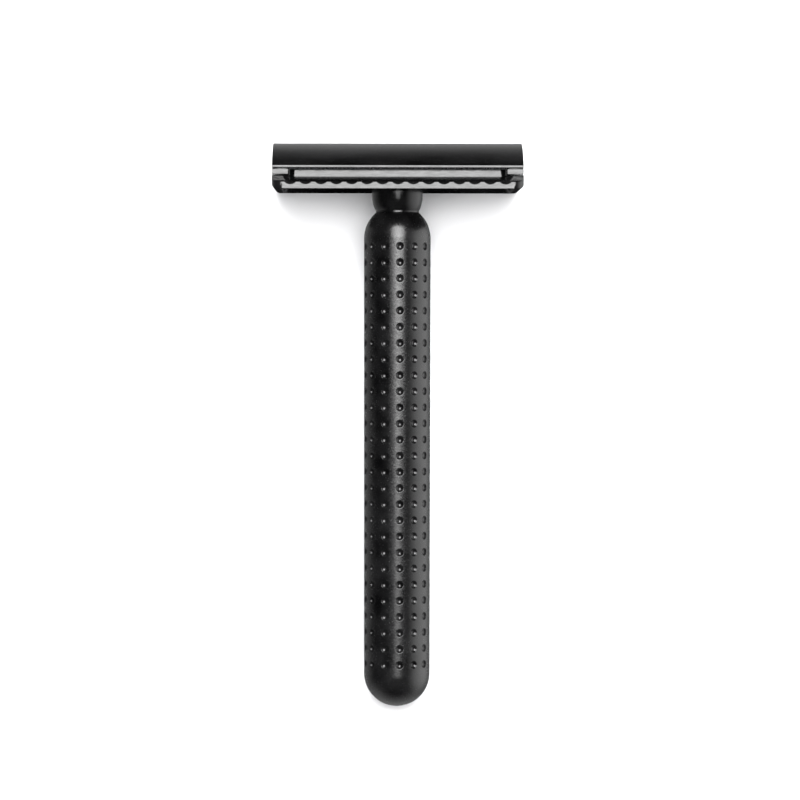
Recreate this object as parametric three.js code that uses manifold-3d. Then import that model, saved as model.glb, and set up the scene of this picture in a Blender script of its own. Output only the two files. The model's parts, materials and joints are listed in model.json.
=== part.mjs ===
// A double-edge safety razor of three main parts: a cap with its stud, a base plate and a handle,
// with the blade clamped between cap and base plate.
//
// Everything is drawn in the razor's own frame, in millimetres: X along the blade, Y along the
// handle and up to the cap, Z towards the razor's front. Its origin is the centre of the base
// plate's underside. The finished group is tipped about X until it lies on the plane z = 0.

import * as THREE from 'three';
import { mergeVertices } from 'three/addons/utils/BufferGeometryUtils.js';
import Module from 'manifold-3d';

// Blade, the standard double-edge size
const BLADE_LENGTH = 42.8;
const BLADE_WIDTH = 22;
const BLADE_THICKNESS = 0.1;
const EDGE_LENGTH = 37.2;
const TAB_WIDTH = 14;
const BLADE_SLOT_WIDTH = 2.4;
const BLADE_SLOT_LENGTH = 33;
const BLADE_SLOT_CORNER = 0.8;

// Cap
const HEAD_LENGTH = 43;
const CAP_WIDTH = 20.6;
const CROWN_RISE = 4.2;
const LIP_HEIGHT = 0.37;
const BEND_RADIUS = 21;
const LUG_SETBACK = 0.5;
const LUG_CLEARANCE = 0.29;
const LUG_GROOVE_HEIGHT = 0.26;
const LUG_GROOVE_DEPTH = 0.9;

// Stud and locating posts
const STUD_DIAMETER = 5;
const THREAD_PITCH = 0.8;
const THREAD_DEPTH = 0.52;
const STUD_LEAD = 0.4;
const THREAD_ENGAGEMENT = 5;
const POST_DIAMETER = 3;
const POST_SPACING = 25;
const POST_LENGTH = 4;
const POST_TAPER = 0.5;
const POST_TAPER_LENGTH = 1;
const SOCKET_DEPTH = 1;

// Base plate
const BASE_WIDTH = 24.8;
const BAR_HEIGHT = 1.08;
const BAR_DEPTH = 1.6;
const GUTTER_HEIGHT = 1.53;
const FOOT_HEIGHT = 1.95;
const END_HEIGHT = 2.22;
const END_WIDTH = 18;
const PLATFORM_WIDTH = 16;
const PLATFORM_HEIGHT = 6.03;
const PLATFORM_CORNER = 1;
const BASE_CORNER = 1.8;
const BASE_END_ROUND = 0.8;
const RECESS_DEPTH = 0.8;
const RIM_WIDTH = 1.5;
const RECESS_CORNER = 1;
const SCALLOP_PITCH = 2.62;
const SCALLOP_DEPTH = 0.4;
const SCALLOP_RADIUS = 1.6;

// Neck collar and threaded insert
const NECK_RADIUS = 4.45;
const WAIST_RADIUS = 3.74;
const NECK_LENGTH = 3.66;
const NECK_BULGE_LEVEL = 2.4;
const WAIST_LAND = 0.18;
const NECK_SEAT_DEPTH = 0.5;
const COLLAR_WALL = 0.44;
const INSERT_LENGTH = 10;
const INSERT_DROP = 0.6;

// Handle
const HANDLE_LENGTH = 85.78;
const HANDLE_TOP_RADIUS = 5.78;
const HANDLE_END_RADIUS = 5.69;
const DIMPLE_COLUMNS = 14;
const DIMPLE_RADIUS = 0.62;
const DIMPLE_DEPTH = 0.38;
const DIMPLE_PITCH = 2.781;
const FIRST_DIMPLE = 5.88;
const LAST_DIMPLE = 7.59;
const DIMPLE_CLOCKING = THREE.MathUtils.degToRad(4.3);

// Clearances
const BLADE_GAP = 0.1;
const NOTCH_GAP = 0.15;
const HOLE_GAP = 0.2;
const PRESS_GAP = 0.1;
const SEAT_GAP = 0.14;

// How far a cutting shape reaches past what it cuts, and how much wider a pit's cutter is than the pit
const OVERCUT = 1;
const PIT_OVERCUT = 1.5;

// Sizes that follow from the ones above
const capHalf = CAP_WIDTH / 2;
const underCapHeight = PLATFORM_HEIGHT + BLADE_THICKNESS + 2 * BLADE_GAP;
const bendCentre = underCapHeight - BEND_RADIUS;
const lipBottom = bendCentre + Math.sqrt(BEND_RADIUS ** 2 - capHalf ** 2);
const lipTop = lipBottom + LIP_HEIGHT;
const crownHeight = lipTop + CROWN_RISE;
const crownRadius = (capHalf ** 2 + CROWN_RISE ** 2) / (2 * CROWN_RISE);
const bladeTopRadius = BEND_RADIUS - BLADE_GAP;
const bladeUnderRadius = bladeTopRadius - BLADE_THICKNESS;
const bedRadius = bladeUnderRadius - BLADE_GAP;
const lugBottom = END_HEIGHT + LUG_CLEARANCE;
const scallopCount = Math.floor(EDGE_LENGTH / SCALLOP_PITCH) + 1;
const studRadius = (STUD_DIAMETER - THREAD_DEPTH) / 2;
const studHoleRadius = STUD_DIAMETER / 2 + HOLE_GAP;
const postRadius = POST_DIAMETER / 2;
const seatTop = RECESS_DEPTH + NECK_SEAT_DEPTH;
const neckTop = seatTop - SEAT_GAP;
const insertTop = -INSERT_DROP;
const studEnd = insertTop - THREAD_ENGAGEMENT;
const handleTop = -NECK_LENGTH - SEAT_GAP;
const handleEnd = handleTop - HANDLE_LENGTH;
const shoulderDrop = Math.sqrt(HANDLE_TOP_RADIUS ** 2 - WAIST_RADIUS ** 2);
const shoulderCentre = handleTop - shoulderDrop;
const domeCentre = handleEnd + HANDLE_END_RADIUS;
const dimpleRows = Math.round((HANDLE_LENGTH - FIRST_DIMPLE - LAST_DIMPLE) / DIMPLE_PITCH) + 1;
const insertBoreRadius = WAIST_RADIUS - COLLAR_WALL;
const insertRadius = insertBoreRadius - PRESS_GAP;

const wasm = await Module();
wasm.setup();

// ---------------------------------------------------------------- solids

function toSolid(geometry) {
  geometry.deleteAttribute('normal');
  geometry.deleteAttribute('uv');
  const merged = mergeVertices(geometry, 1e-5);
  const mesh = new wasm.Mesh({
    numProp: 3,
    vertProperties: merged.attributes.position.array,
    triVerts: Uint32Array.from(merged.index.array),
  });
  return new wasm.Manifold(mesh);
}

function toGeometry(solid) {
  const mesh = solid.getMesh();
  const geometry = new THREE.BufferGeometry();
  geometry.setAttribute('position', new THREE.BufferAttribute(mesh.vertProperties, 3));
  geometry.setIndex(new THREE.BufferAttribute(mesh.triVerts, 1));
  geometry.computeVertexNormals();
  return geometry;
}

function joined(solids) {
  return solids.reduce((whole, solid) => whole.add(solid));
}

// Points of a circle about the X axis through height `centre`, from one depth to another.
function arcPoints(centre, radius, fromDepth, toDepth, steps) {
  const from = Math.asin(fromDepth / radius);
  const to = Math.asin(toDepth / radius);
  return Array.from({ length: steps + 1 }, (_, step) => {
    const angle = from + ((to - from) * step) / steps;
    return new THREE.Vector2(radius * Math.sin(angle), centre + radius * Math.cos(angle));
  });
}

// A cross-section of [depth, height] points, extruded along X between two places.
function alongX(points, fromX, toX) {
  const geometry = new THREE.ExtrudeGeometry(new THREE.Shape(points), {
    depth: toX - fromX,
    bevelEnabled: false,
  });
  geometry.rotateY(Math.PI / 2);
  geometry.translate(fromX, 0, 0);
  return toSolid(geometry);
}

// A front outline of [x, height] points, extruded through the whole depth of the head.
function alongZ(points, depth) {
  const geometry = new THREE.ExtrudeGeometry(new THREE.Shape(points), { depth, bevelEnabled: false });
  geometry.translate(0, 0, -depth / 2);
  return toSolid(geometry);
}

// A plan outline in X and Z, extruded upward between two heights.
function alongY(shape, fromHeight, toHeight, curveSegments = 6) {
  const geometry = new THREE.ExtrudeGeometry(shape, {
    depth: toHeight - fromHeight,
    bevelEnabled: false,
    curveSegments,
  });
  geometry.rotateX(-Math.PI / 2);
  geometry.translate(0, fromHeight, 0);
  return toSolid(geometry);
}

function rod(radius, fromHeight, toHeight, x = 0, sides = 24) {
  const geometry = new THREE.CylinderGeometry(radius, radius, toHeight - fromHeight, sides);
  geometry.translate(x, (fromHeight + toHeight) / 2, 0);
  return toSolid(geometry);
}

function block(xFrom, xTo, heightFrom, heightTo, zFrom, zTo) {
  const geometry = new THREE.BoxGeometry(xTo - xFrom, heightTo - heightFrom, zTo - zFrom);
  geometry.translate((xFrom + xTo) / 2, (heightFrom + heightTo) / 2, (zFrom + zTo) / 2);
  return toSolid(geometry);
}

function roundedRectangle(length, width, corner) {
  const x = length / 2;
  const z = width / 2;
  const shape = new THREE.Shape();
  shape.moveTo(-x + corner, -z);
  shape.lineTo(x - corner, -z);
  shape.absarc(x - corner, -z + corner, corner, -Math.PI / 2, 0);
  shape.lineTo(x, z - corner);
  shape.absarc(x - corner, z - corner, corner, 0, Math.PI / 2);
  shape.lineTo(-x + corner, z);
  shape.absarc(-x + corner, z - corner, corner, Math.PI / 2, Math.PI);
  shape.lineTo(-x, -z + corner);
  shape.absarc(-x + corner, -z + corner, corner, Math.PI, 1.5 * Math.PI);
  return shape;
}

// The space under a circle of the head, down to a height.
function underArc(centre, radius, halfDepth, downTo, steps) {
  return [
    ...arcPoints(centre, radius, -halfDepth, halfDepth, steps),
    new THREE.Vector2(halfDepth, downTo),
    new THREE.Vector2(-halfDepth, downTo),
  ];
}

// ---------------------------------------------------------------- cap body

// The curved cap, with four lugs that fill the blade's corner notches and three blind sockets.
function capGeometry() {
  const crownCentre = crownHeight - crownRadius;
  const crown = arcPoints(crownCentre, crownRadius, -capHalf, capHalf, 24);
  const underside = arcPoints(bendCentre, BEND_RADIUS, capHalf, -capHalf, 20);
  const shell = alongX([...crown, ...underside], -HEAD_LENGTH / 2, HEAD_LENGTH / 2);

  const lugHalf = capHalf - LUG_SETBACK;
  const lugSpace = alongX(
    underArc(crownCentre, crownRadius, lugHalf, lugBottom, 24),
    -HEAD_LENGTH / 2,
    HEAD_LENGTH / 2,
  );
  const innerX = EDGE_LENGTH / 2 + NOTCH_GAP;
  const innerZ = TAB_WIDTH / 2 + NOTCH_GAP;
  const corners = [];
  for (const side of [-1, 1]) {
    for (const face of [-1, 1]) {
      const xs = [side * innerX, side * (HEAD_LENGTH / 2)].sort((a, b) => a - b);
      const zs = [face * innerZ, face * (capHalf + OVERCUT)].sort((a, b) => a - b);
      corners.push(block(xs[0], xs[1], lugBottom - OVERCUT, crownHeight, zs[0], zs[1]));
    }
  }
  const grooves = [-1, 1].map((face) => {
    const zs = [face * (lugHalf - LUG_GROOVE_DEPTH), face * (capHalf + OVERCUT)].sort((a, b) => a - b);
    return block(-HEAD_LENGTH, HEAD_LENGTH, lipBottom - LUG_GROOVE_HEIGHT, lipBottom, zs[0], zs[1]);
  });
  const lugs = joined(corners).intersect(lugSpace).subtract(joined(grooves));
  const socketTop = underCapHeight + SOCKET_DEPTH;
  const sockets = joined([
    rod(studRadius + PRESS_GAP, lugBottom, socketTop),
    rod(postRadius + PRESS_GAP, lugBottom, socketTop, -POST_SPACING / 2),
    rod(postRadius + PRESS_GAP, lugBottom, socketTop, POST_SPACING / 2),
  ]);
  return toGeometry(shell.add(lugs).subtract(sockets));
}

// The stud's thread is a plain cylinder at its pitch diameter, with a tapered lead at its end.
function studGeometry() {
  const top = underCapHeight + SOCKET_DEPTH - PRESS_GAP;
  const profile = [
    new THREE.Vector2(0, studEnd),
    new THREE.Vector2(studRadius - STUD_LEAD, studEnd),
    new THREE.Vector2(studRadius, studEnd + STUD_LEAD),
    new THREE.Vector2(studRadius, top),
    new THREE.Vector2(0, top),
  ];
  return new THREE.LatheGeometry(profile, 24);
}

// A post that passes through the blade into the base plate, with a tapered tip.
function postGeometry() {
  const top = underCapHeight + SOCKET_DEPTH - PRESS_GAP;
  const tip = underCapHeight - POST_LENGTH;
  const profile = [
    new THREE.Vector2(0, tip),
    new THREE.Vector2(postRadius - POST_TAPER, tip),
    new THREE.Vector2(postRadius, tip + POST_TAPER_LENGTH),
    new THREE.Vector2(postRadius, top),
    new THREE.Vector2(0, top),
  ];
  return new THREE.LatheGeometry(profile, 20);
}

// ---------------------------------------------------------------- blade body

// The blade, bent over the platform: corner notches, a long slot and three round openings.
function bladeGeometry() {
  const middleRadius = (bladeTopRadius + bladeUnderRadius) / 2;
  const halfAngle = BLADE_WIDTH / 2 / middleRadius;
  const topHalf = bladeTopRadius * Math.sin(halfAngle);
  const underHalf = bladeUnderRadius * Math.sin(halfAngle);
  const section = [
    ...arcPoints(bendCentre, bladeTopRadius, -topHalf, topHalf, 20),
    ...arcPoints(bendCentre, bladeUnderRadius, underHalf, -underHalf, 20),
  ];
  const sheet = alongX(section, -BLADE_LENGTH / 2, BLADE_LENGTH / 2);

  const edgePart = block(-EDGE_LENGTH / 2, EDGE_LENGTH / 2, 0, crownHeight, -BLADE_WIDTH, BLADE_WIDTH);
  const tabPart = block(-BLADE_LENGTH, BLADE_LENGTH, 0, crownHeight, -TAB_WIDTH / 2, TAB_WIDTH / 2);
  const slot = alongY(
    roundedRectangle(BLADE_SLOT_LENGTH, BLADE_SLOT_WIDTH, BLADE_SLOT_CORNER),
    0,
    crownHeight,
    3,
  );
  const openings = joined([
    slot,
    rod(STUD_DIAMETER / 2 + 2 * HOLE_GAP, 0, crownHeight),
    rod(postRadius + HOLE_GAP, 0, crownHeight, -POST_SPACING / 2),
    rod(postRadius + HOLE_GAP, 0, crownHeight, POST_SPACING / 2),
  ]);
  return toGeometry(sheet.intersect(edgePart.add(tabPart)).subtract(openings));
}

// ---------------------------------------------------------------- base body

// Cutters for the scallops of one bar: round grooves that run down and out through its front.
function scallopCutters(face) {
  const front = BASE_WIDTH / 2;
  const groove = new THREE.Vector2(-BAR_DEPTH, GUTTER_HEIGHT - BAR_HEIGHT + SCALLOP_DEPTH);
  const slope = groove.angle() - Math.PI / 2;
  const reach = 2 * BAR_DEPTH;
  const cutters = [];
  for (let index = 0; index < scallopCount; index += 1) {
    const geometry = new THREE.CylinderGeometry(SCALLOP_RADIUS, SCALLOP_RADIUS, reach, 20);
    geometry.translate(0, reach / 2 - OVERCUT, SCALLOP_RADIUS);
    geometry.rotateX(-slope);
    geometry.rotateY(face > 0 ? 0 : Math.PI);
    const x = (index - (scallopCount - 1) / 2) * SCALLOP_PITCH;
    geometry.translate(x, BAR_HEIGHT - SCALLOP_DEPTH, face * front);
    cutters.push(toSolid(geometry));
  }
  return cutters;
}

// One half of a cross-section, mirrored to the other side of the razor's middle.
function mirroredSection(half) {
  const right = half.map(([depth, height]) => new THREE.Vector2(depth, height));
  const left = [...right].reverse().map((point) => new THREE.Vector2(-point.x, point.y));
  return [...right, ...left];
}

// The front outline of the base plate: straight sides over rounded lower ends.
function endRoundedOutline() {
  const end = HEAD_LENGTH / 2;
  const top = PLATFORM_HEIGHT + OVERCUT;
  const corner = [];
  for (let step = 0; step <= 4; step += 1) {
    const angle = (step * Math.PI) / 8;
    corner.push([
      end - BASE_END_ROUND * (1 - Math.sin(angle)),
      BASE_END_ROUND * (1 - Math.cos(angle)),
    ]);
  }
  return alongZ(mirroredSection([...corner, [end, top]]), 2 * BASE_WIDTH);
}

// The floor and its two bars, the raised ends, and the platform that carries the blade.
function solidPlate() {
  const barFront = BASE_WIDTH / 2;
  const barBack = barFront - BAR_DEPTH;
  const platformHalf = PLATFORM_WIDTH / 2;
  const end = HEAD_LENGTH / 2;
  const bar = [[barFront, 0], [barFront, BAR_HEIGHT]];
  const floorSection = mirroredSection([...bar, [barBack, GUTTER_HEIGHT], [platformHalf, FOOT_HEIGHT]]);
  const floor = alongX(floorSection, -end, end);
  const endSection = mirroredSection([...bar, [END_WIDTH / 2, END_HEIGHT]]);
  const ends = [alongX(endSection, -end, -EDGE_LENGTH / 2), alongX(endSection, EDGE_LENGTH / 2, end)];
  const bed = alongX(underArc(bendCentre, bedRadius, platformHalf, 0, 16), -end, end);
  const pillar = alongY(
    roundedRectangle(EDGE_LENGTH, PLATFORM_WIDTH, PLATFORM_CORNER),
    GUTTER_HEIGHT / 2,
    PLATFORM_HEIGHT + OVERCUT,
  );
  return joined([floor, ...ends, pillar.intersect(bed)]);
}

// The base plate, hollow below, with its scallops, its seat for the neck and its round openings.
function basePlateGeometry() {
  const top = PLATFORM_HEIGHT + OVERCUT;
  const outline = alongY(roundedRectangle(HEAD_LENGTH, BASE_WIDTH, BASE_CORNER), -OVERCUT, top);
  const recess = roundedRectangle(HEAD_LENGTH - 2 * RIM_WIDTH, BASE_WIDTH - 2 * RIM_WIDTH, RECESS_CORNER);
  const cuts = joined([
    alongY(recess, -OVERCUT, RECESS_DEPTH),
    rod(NECK_RADIUS + HOLE_GAP, -OVERCUT, seatTop, 0, 32),
    rod(studHoleRadius, -OVERCUT, top),
    rod(postRadius + HOLE_GAP, -OVERCUT, top, -POST_SPACING / 2),
    rod(postRadius + HOLE_GAP, -OVERCUT, top, POST_SPACING / 2),
  ]);
  const scallops = joined([...scallopCutters(1), ...scallopCutters(-1)]);
  const body = solidPlate().intersect(outline).intersect(endRoundedOutline());
  return toGeometry(body.subtract(cuts).subtract(scallops));
}

// ---------------------------------------------------------------- handle body

// The ball-shaped neck under the base plate, open down its middle for the insert.
function neckCollarGeometry() {
  const curve = new THREE.QuadraticBezierCurve(
    new THREE.Vector2(WAIST_RADIUS, -NECK_LENGTH + WAIST_LAND),
    new THREE.Vector2(NECK_RADIUS, -NECK_BULGE_LEVEL),
    new THREE.Vector2(NECK_RADIUS, 0),
  );
  const profile = [
    new THREE.Vector2(insertBoreRadius, -NECK_LENGTH),
    new THREE.Vector2(WAIST_RADIUS, -NECK_LENGTH),
    ...curve.getPoints(7),
    new THREE.Vector2(NECK_RADIUS, neckTop),
    new THREE.Vector2(insertBoreRadius, neckTop),
    new THREE.Vector2(insertBoreRadius, -NECK_LENGTH),
  ];
  return new THREE.LatheGeometry(profile, 32);
}

// The threaded bush that joins neck and handle. Its thread is a plain bore around the stud.
function insertGeometry() {
  const bore = studRadius + PRESS_GAP;
  const bottom = insertTop - INSERT_LENGTH;
  const profile = [
    new THREE.Vector2(bore, bottom),
    new THREE.Vector2(insertRadius, bottom),
    new THREE.Vector2(insertRadius, insertTop),
    new THREE.Vector2(bore, insertTop),
    new THREE.Vector2(bore, bottom),
  ];
  return new THREE.LatheGeometry(profile, 24);
}

function handleRadiusAt(height) {
  const share = (shoulderCentre - height) / (shoulderCentre - domeCentre);
  return THREE.MathUtils.lerp(HANDLE_TOP_RADIUS, HANDLE_END_RADIUS, share);
}

// Shallow pits in straight columns, each centred on a flat of the handle.
function dimpleCutters() {
  const flatShare = Math.cos(Math.PI / (2 * DIMPLE_COLUMNS));
  const mouth = DIMPLE_RADIUS * PIT_OVERCUT;
  const height = DIMPLE_DEPTH * PIT_OVERCUT;
  const cutters = [];
  for (let row = 0; row < dimpleRows; row += 1) {
    const level = handleTop - FIRST_DIMPLE - row * DIMPLE_PITCH;
    const surface = handleRadiusAt(level) * flatShare;
    for (let column = 0; column < DIMPLE_COLUMNS; column += 1) {
      const pit = new THREE.ConeGeometry(mouth, height, 6);
      pit.rotateX(-Math.PI / 2);
      pit.translate(0, level, surface - DIMPLE_DEPTH + height / 2);
      pit.rotateY(DIMPLE_CLOCKING + (column * 2 * Math.PI) / DIMPLE_COLUMNS);
      cutters.push(toSolid(pit));
    }
  }
  return cutters;
}

// Part of a circle about the handle's axis at height `centre`, from one angle off the axis to another.
function roundProfile(centre, radius, from, to, steps) {
  return Array.from({ length: steps + 1 }, (_, step) => {
    const angle = THREE.MathUtils.lerp(from, to, step / steps);
    return new THREE.Vector2(radius * Math.abs(Math.sin(angle)), centre + radius * Math.cos(angle));
  });
}

// The handle: a round shoulder, a slightly tapered grip and a domed end, bored for the insert.
function handleGeometry() {
  const sides = 2 * DIMPLE_COLUMNS;
  const boreBottom = insertTop - INSERT_LENGTH - SEAT_GAP;
  const dome = roundProfile(domeCentre, HANDLE_END_RADIUS, Math.PI, Math.PI / 2, 8);
  const shoulderAngle = Math.asin(WAIST_RADIUS / HANDLE_TOP_RADIUS);
  const shoulder = roundProfile(shoulderCentre, HANDLE_TOP_RADIUS, Math.PI / 2, shoulderAngle, 6);
  const profile = [
    ...dome,
    ...shoulder,
    new THREE.Vector2(insertBoreRadius, handleTop),
    new THREE.Vector2(insertBoreRadius, boreBottom),
    new THREE.Vector2(0, boreBottom),
  ];
  const blank = new THREE.LatheGeometry(profile, sides, DIMPLE_CLOCKING - Math.PI / sides);
  return toGeometry(toSolid(blank).subtract(joined(dimpleCutters())));
}

// ---------------------------------------------------------------- assembly

function coated(color) {
  return new THREE.MeshStandardMaterial({ color, roughness: 0.4, metalness: 0.6 });
}

function bareMetal(color) {
  return new THREE.MeshStandardMaterial({ color, roughness: 0.3, metalness: 1 });
}

function part(name, geometry, material, x = 0) {
  const mesh = new THREE.Mesh(geometry, material);
  mesh.name = name;
  mesh.position.x = x;
  return mesh;
}

// How far the razor tips when its rear bar and its domed end both touch the plane it lies on.
function restAngle() {
  const barDepth = BASE_WIDTH / 2;
  const reach = Math.hypot(domeCentre, barDepth);
  return Math.atan(barDepth / -domeCentre) - Math.asin(HANDLE_END_RADIUS / reach);
}

const razor = new THREE.Group();
razor.add(
  part('cap', capGeometry(), coated(0x151516)),
  part('threaded_stud', studGeometry(), bareMetal(0xb4b4b2)),
  part('locating_post_left', postGeometry(), bareMetal(0xb4b4b2), -POST_SPACING / 2),
  part('locating_post_right', postGeometry(), bareMetal(0xb4b4b2), POST_SPACING / 2),
  part('blade', bladeGeometry(), bareMetal(0xc8c9cb)),
  part('base_plate', basePlateGeometry(), coated(0x151516)),
  part('neck_collar', neckCollarGeometry(), coated(0x131314)),
  part('threaded_insert', insertGeometry(), bareMetal(0xb08d4a)),
  part('handle_body', handleGeometry(), coated(0x131314)),
);
razor.rotation.x = restAngle();
razor.updateMatrixWorld(true);

// The origin is below the middle of the whole razor, on the plane it lies on.
const extent = new THREE.Box3().setFromObject(razor, true);
const middle = extent.getCenter(new THREE.Vector3());
razor.position.set(-middle.x, -middle.y, -extent.min.z);

const assembly = new THREE.Group();
assembly.add(razor);

export default assembly;
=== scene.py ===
"""A double-edge safety razor, lying on a pale table under a large soft light.

Every piece is drawn in the razor's own frame: X along the blade, Y along the handle and up to
the cap, Z towards the razor's front, with its origin at the centre of the base plate's underside.
RAZOR carries that frame into the row frame. Sizes are in millimetres, and meshes in metres.
"""

import json
import math

import bmesh
import bpy
import numpy as np
from mathutils import Matrix, Vector


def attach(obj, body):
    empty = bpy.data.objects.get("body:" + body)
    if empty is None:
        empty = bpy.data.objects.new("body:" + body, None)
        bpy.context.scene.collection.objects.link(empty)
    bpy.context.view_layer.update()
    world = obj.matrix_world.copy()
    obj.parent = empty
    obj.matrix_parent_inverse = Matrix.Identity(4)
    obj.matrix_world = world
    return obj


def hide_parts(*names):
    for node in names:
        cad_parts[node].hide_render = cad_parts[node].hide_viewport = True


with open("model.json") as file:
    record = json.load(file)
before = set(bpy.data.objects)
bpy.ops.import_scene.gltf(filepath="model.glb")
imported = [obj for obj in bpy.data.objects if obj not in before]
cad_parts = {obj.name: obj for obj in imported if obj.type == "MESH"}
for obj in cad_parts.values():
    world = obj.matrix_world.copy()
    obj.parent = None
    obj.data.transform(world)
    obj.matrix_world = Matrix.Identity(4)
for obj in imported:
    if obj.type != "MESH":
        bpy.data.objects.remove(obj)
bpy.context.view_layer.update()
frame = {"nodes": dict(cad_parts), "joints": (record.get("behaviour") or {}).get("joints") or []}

MM = 0.001

# ------------------------------------------------------------------ the razor's own frame

joints = {joint["name"]: joint for joint in frame["joints"]}
ORIGIN = Vector(joints["handle_turn"]["pos_m"])
ALONG = Vector(joints["cap_lift"]["axis"]).normalized()
SIDE = Vector((1, 0, 0))
FRONT = SIDE.cross(ALONG)
RAZOR = Matrix.Translation(ORIGIN) @ Matrix((SIDE, ALONG, FRONT)).transposed().to_4x4()


def own_box(node):
    """Lowest and highest corner of a CAD node in the razor's own frame, in millimetres."""
    back = RAZOR.inverted()
    points = np.array([back @ vertex.co for vertex in frame["nodes"][node].data.vertices])
    return Vector(points.min(axis=0)) / MM, Vector(points.max(axis=0)) / MM


cap_low, cap_high = own_box("cap")
base_high = own_box("base_plate")[1]
blade_low, blade_high = own_box("blade")
neck_low, neck_high = own_box("neck_collar")
handle_low, handle_high = own_box("handle_body")
stud_low, stud_high = own_box("threaded_stud")
post_low, post_high = own_box("locating_post_right")
insert_low, insert_high = own_box("threaded_insert")

# ------------------------------------------------------------------ sizes in millimetres

HEAD_LENGTH = cap_high.x - cap_low.x
CAP_HALF = cap_high.z
BOX_ALLOWANCE = 0.004
CROWN_HEIGHT = cap_high.y - BOX_ALLOWANCE
CROWN_RISE = 4.2
LIP_HEIGHT = 0.37
BEND_RADIUS = 21.0
LIP_TOP = CROWN_HEIGHT - CROWN_RISE
CROWN_RADIUS = (CAP_HALF**2 + CROWN_RISE**2) / (2 * CROWN_RISE)
BEND_CENTRE = LIP_TOP - LIP_HEIGHT - math.sqrt(BEND_RADIUS**2 - CAP_HALF**2)
UNDER_CAP = BEND_CENTRE + BEND_RADIUS
LUG_BOTTOM = cap_low.y
LUG_SETBACK = 0.5
LUG_PLAY = 0.15
LUG_OVERLAP = 0.3
LUG_GROOVE_HEIGHT = 0.26
LUG_GROOVE_DEPTH = 0.9
LUG_GROOVE_START = 0.02
CAP_BEVEL = 0.04
CROWN_STEPS = 96

EDGE_LENGTH = 37.2
TAB_WIDTH = 14.0
BLADE_LENGTH = blade_high.x - blade_low.x
BLADE_WIDTH = 22.0
BLADE_THICKNESS = 0.1
BLADE_GRIND = 0.9
BLADE_GAP = 0.1
BLADE_STEPS = 48
SLOT_HALF = (16.5, 1.2)
SLOT_CORNER = 0.8
SLOT_PLAY = 0.4

BASE_HALF = base_high.z
BAR_HEIGHT = 1.08
BAR_DEPTH = 1.6
GUTTER_HEIGHT = 1.53
FOOT_HEIGHT = 2.15
END_HEIGHT = 2.41
END_HALF = 9.0
END_FACE = ((11.5, 1.38), (11.2, 2.12))
PLATFORM_HALF = 8.0
PLATFORM_CORNER = 1.0
BED_FOOT = 0.5
PILLAR_FOOT = 0.6
BASE_CORNER = 1.8
BASE_CORNER_STEPS = 12
BASE_END_ROUND = 0.8
BASE_BEVEL = 0.07
RECESS_DEPTH = 0.8
RECESS_CORNER = 1.0
RECESS_DRAFT = 0.3
RIM_WIDTH = 1.5
SEAT_DEPTH = 0.5
CURVE_STEPS = 64
SCALLOP_COUNT = 15
SCALLOP_PITCH = 2.62
SCALLOP_DEPTH = 0.42
SCALLOP_RADIUS = 1.55
SCALLOP_REACH = (-0.7, 2.4)
SCALLOP_SIDES = 64

STUD_RADIUS = 2.45
THREAD_PITCH = 0.8
THREAD_DEPTH = 0.43
THREAD_PLAY = 0.06
THREAD_FLANK = 1.3
THREAD_FLAT = 0.15
THREAD_SIDES = 48
THREAD_STEPS = 12
PLAIN_SHANK = 1.2
LEAD_DEPTH = 0.75
LEAD_SLOPE = 0.9
STUD_HOLE_PLAY = 0.25
BUSH_CHAMFER = 0.3
BUSH_MOUTH = 0.3
BUSH_MOUTH_LAND = 0.1
POST_RADIUS = post_high.z
POST_X = (post_low.x + post_high.x) / 2
POST_TIP = 0.6
POST_SIDES = 48
HOLE_GAP = 0.2
OVERCUT = 1.0
CORNER_STEPS = 8

NECK_RADIUS = neck_high.z
WAIST_RADIUS = 3.74
NECK_BOTTOM = neck_low.y
NECK_BULGE = -2.4
WAIST_LAND = 0.2
NECK_FOOT = 0.1
NECK_STEPS = 24
NECK_SIDES = 128
POCKET_RADIUS = 3.3
POCKET_DEPTH = 7.3

HANDLE_TOP = handle_high.y
HANDLE_END = handle_low.y
TOP_RADIUS = 5.78
END_RADIUS = 5.69
SHOULDER_CENTRE = HANDLE_TOP - math.sqrt(TOP_RADIUS**2 - WAIST_RADIUS**2)
SHOULDER_INSET = 0.08
SHOULDER_RISE = 0.04
DOME_CENTRE = HANDLE_END + END_RADIUS
DOME_ALLOWANCE = 0.02
ROUND_STEPS = 24
DIMPLE_COLUMNS = 14
DIMPLE_ROWS = 27
DIMPLE_PITCH = 2.781
DIMPLE_SETBACK = 5.88
FIRST_DIMPLE = HANDLE_TOP - DIMPLE_SETBACK
DIMPLE_CLOCKING = math.radians(4.3)
BOWL_RADIUS = 0.785
BOWL_DEPTH = 0.39
BOWL_RIM = 0.1
BOWL_LAND = 0.06
BOWL_STEPS = 4
RIM_STEPS = 3
CELL_BLENDS = (0.4, 1.0)
DIMPLE_SIDES = 20


# ------------------------------------------------------------------ mesh tools


def new_object(name, points, faces):
    """A mesh object from points in millimetres in the razor's own frame."""
    mesh = bpy.data.meshes.new(name)
    mesh.from_pydata([tuple(Vector(p) * MM) for p in points], [], faces)
    mesh.validate()
    obj = bpy.data.objects.new(name, mesh)
    bpy.context.scene.collection.objects.link(obj)
    obj.matrix_world = RAZOR
    return obj


def clean(obj, weld=1e-7):
    """Welds double points and turns every face outward."""
    bm = bmesh.new()
    bm.from_mesh(obj.data)
    bmesh.ops.remove_doubles(bm, verts=bm.verts, dist=weld)
    bmesh.ops.recalc_face_normals(bm, faces=bm.faces)
    bm.to_mesh(obj.data)
    bm.free()
    return obj


def settle(obj):
    """Replaces an object's mesh by what its modifiers make of it."""
    bpy.context.view_layer.update()
    graph = bpy.context.evaluated_depsgraph_get()
    made = bpy.data.meshes.new_from_object(obj.evaluated_get(graph))
    obj.modifiers.clear()
    obj.data = made
    return obj


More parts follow.
